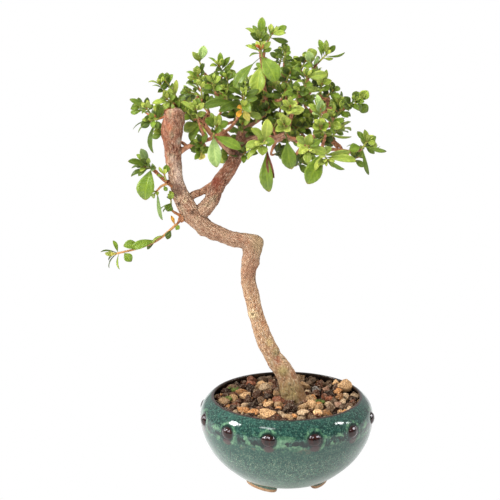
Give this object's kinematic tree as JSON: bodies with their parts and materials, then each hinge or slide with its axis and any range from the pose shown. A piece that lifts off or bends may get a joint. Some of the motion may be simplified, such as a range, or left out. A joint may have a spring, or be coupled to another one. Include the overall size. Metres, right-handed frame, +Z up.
{
  "type": "potted azalea bonsai",
  "caption": "Leaning S-shaped azalea bonsai with a cut trunk stub, twigs ending in leafy shoots, gravel soil and a round glazed bowl on feet.",
  "frame": {"origin": "bottom centre of the whole object's bounding box, on the surface that the bowl stands on", "axes": "+Z up, -Y towards the front of the tree, +X to the viewer's right"},
  "size_m": [0.248, 0.1582, 0.419],
  "materials": {
    "glaze": "glossy",
    "screen": "matt",
    "gravel": "rough",
    "bark": "rough bark",
    "leaf": "satin"
  },
  "bodies": {
    "root": {"pot": "glaze", "drain_screen": "screen", "soil": "gravel", "trunk": "bark", "shoot_01": "leaf", "shoot_02": "leaf", "shoot_03": "leaf", "shoot_04": "leaf", "shoot_05": "leaf", "shoot_06": "leaf", "shoot_07": "leaf", "shoot_08": "leaf", "shoot_09": "leaf", "shoot_10": "leaf", "shoot_11": "leaf", "shoot_12": "leaf", "shoot_13": "leaf", "shoot_14": "leaf", "shoot_15": "leaf", "shoot_16": "leaf", "shoot_17": "leaf", "shoot_18": "leaf", "shoot_19": "leaf", "shoot_20": "leaf", "shoot_21": "leaf", "shoot_22": "leaf", "shoot_23": "leaf", "shoot_24": "leaf", "shoot_25": "leaf", "shoot_26": "leaf", "shoot_27": "leaf", "shoot_28": "leaf", "shoot_29": "leaf", "shoot_30": "leaf", "shoot_31": "leaf", "shoot_32": "leaf", "shoot_33": "leaf", "shoot_34": "leaf", "shoot_35": "leaf", "shoot_36": "leaf", "shoot_37": "leaf", "shoot_38": "leaf", "shoot_39": "leaf", "shoot_40": "leaf", "shoot_41": "leaf", "shoot_42": "leaf", "shoot_43": "leaf", "shoot_44": "leaf", "shoot_45": "leaf", "shoot_46": "leaf", "shoot_47": "leaf", "shoot_48": "leaf", "shoot_49": "leaf", "shoot_50": "leaf", "shoot_51": "leaf", "shoot_52": "leaf", "shoot_53": "leaf", "shoot_54": "leaf", "shoot_55": "leaf", "shoot_56": "leaf"}
  },
  "joints": []
}
